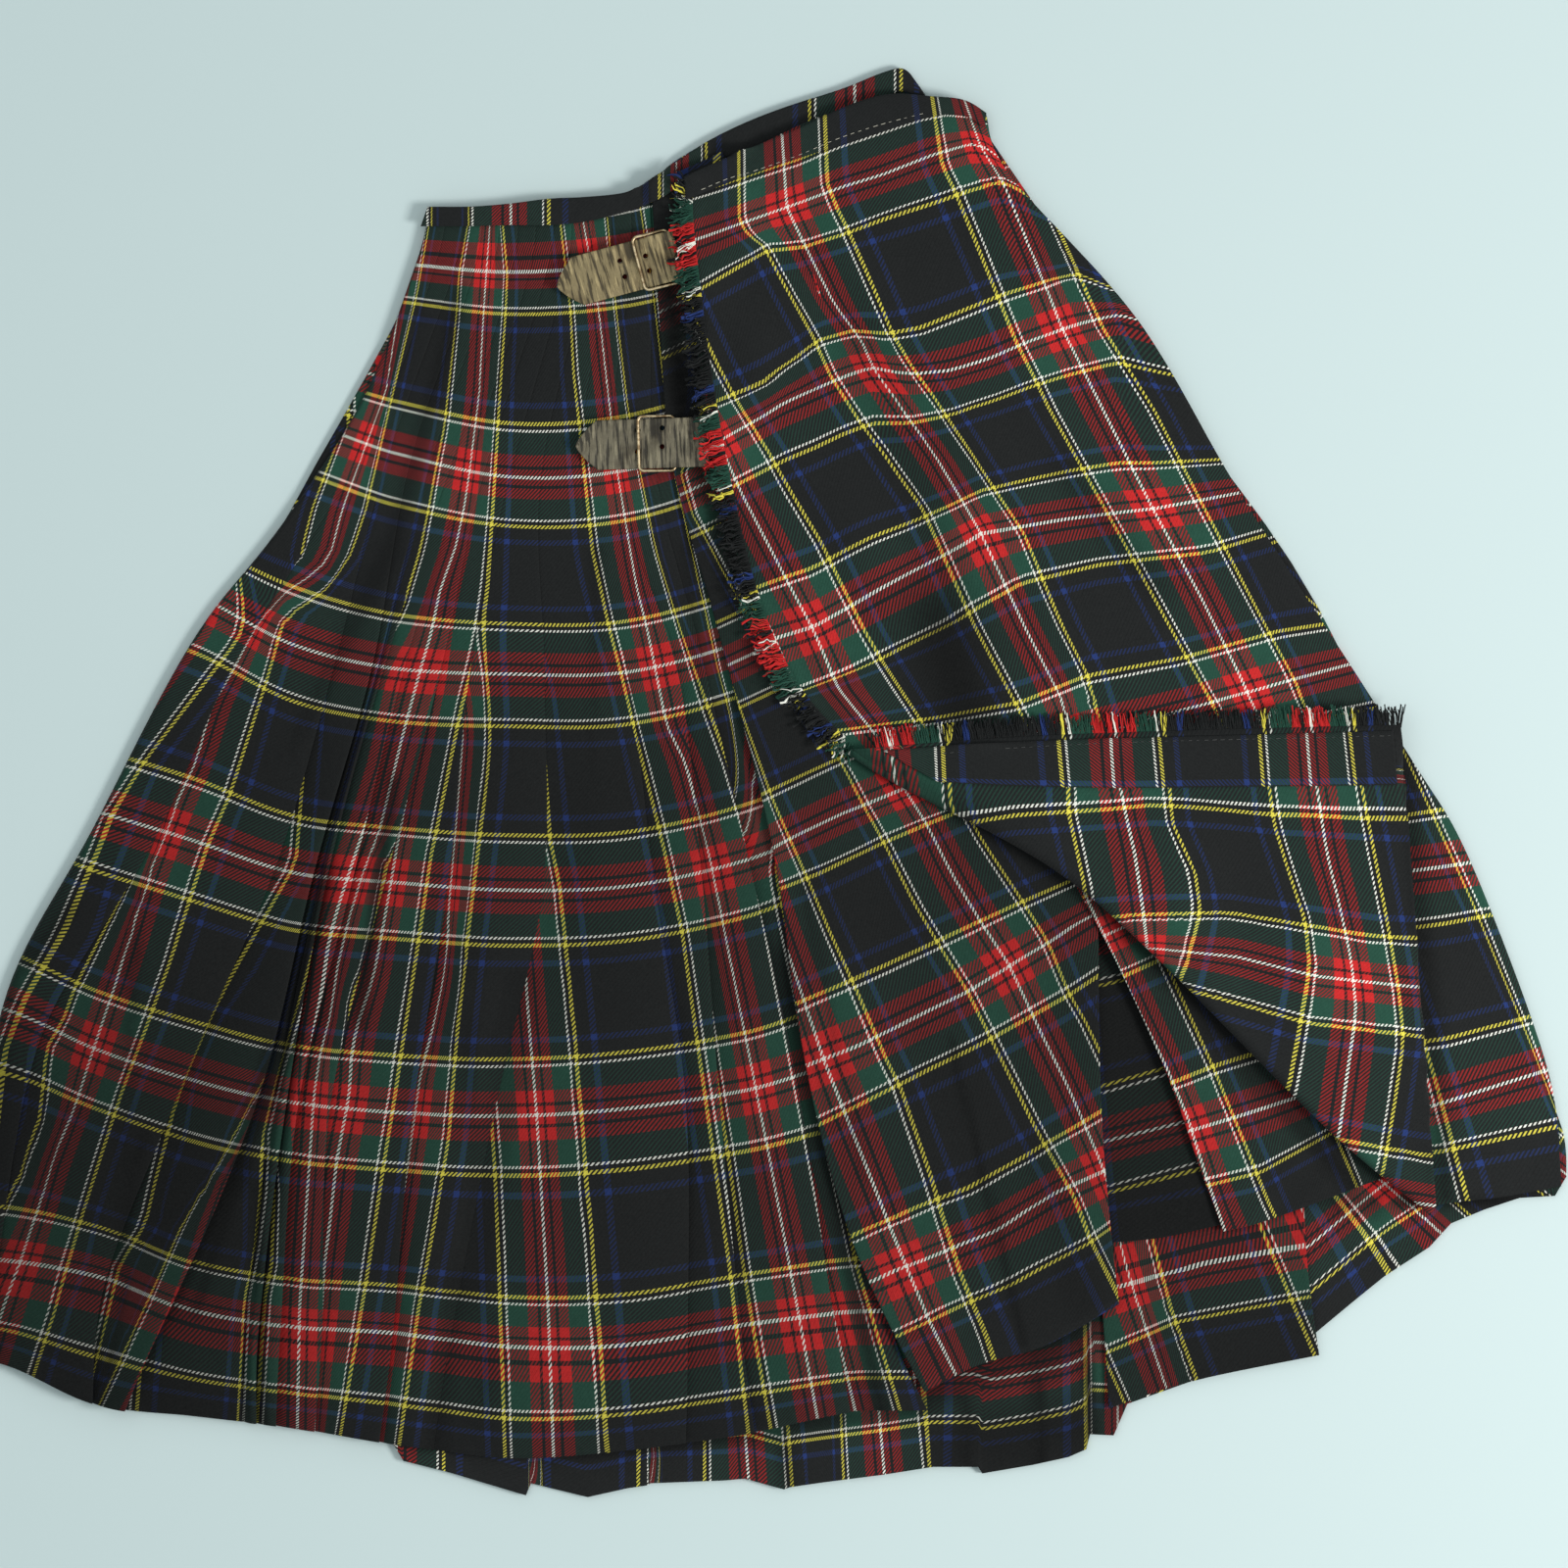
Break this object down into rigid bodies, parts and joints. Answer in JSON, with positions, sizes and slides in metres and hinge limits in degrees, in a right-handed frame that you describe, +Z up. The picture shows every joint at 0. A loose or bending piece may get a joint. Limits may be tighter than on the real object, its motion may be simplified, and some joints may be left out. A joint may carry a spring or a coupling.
{
  "type": "scottish kilt",
  "caption": "Wrap-around pleated tartan kilt laid flat, fringed over-apron with its lower corner turned back, fastened with leather straps and wire buckles.",
  "frame": {"origin": "centre of the laid garment's bounding box, at the surface it lies on", "axes": "+X from the pleats towards the over-apron, +Y from the hem towards the waist, +Z up from the surface it lies on"},
  "size_m": [0.811, 0.7283, 0.0255],
  "materials": {
    "tartan": "wool twill in a dark tartan of black, green, red, white, yellow and blue",
    "band": "the same wool twill, cut as a narrow band and stitched",
    "fringe": "frayed wool yarn",
    "leather": "weathered khaki-brown leather with fine cross creases",
    "buckle": "worn pale brass wire"
  },
  "bodies": {
    "root": {"back_half": "tartan", "pleated_panel": "tartan", "end_pleat": "tartan", "under_apron_fold": "tartan", "under_apron_pleat": "tartan", "under_apron": "tartan", "over_apron": "tartan", "waistband_back": "band", "waistband_pleats": "band", "waistband_apron": "band", "edge_band": "band", "fringe_edge": "fringe", "fringe_corner": "fringe", "strap_upper": "leather", "strap_lower": "leather", "buckle_upper": "buckle", "buckle_lower": "buckle"}
  },
  "joints": []
}
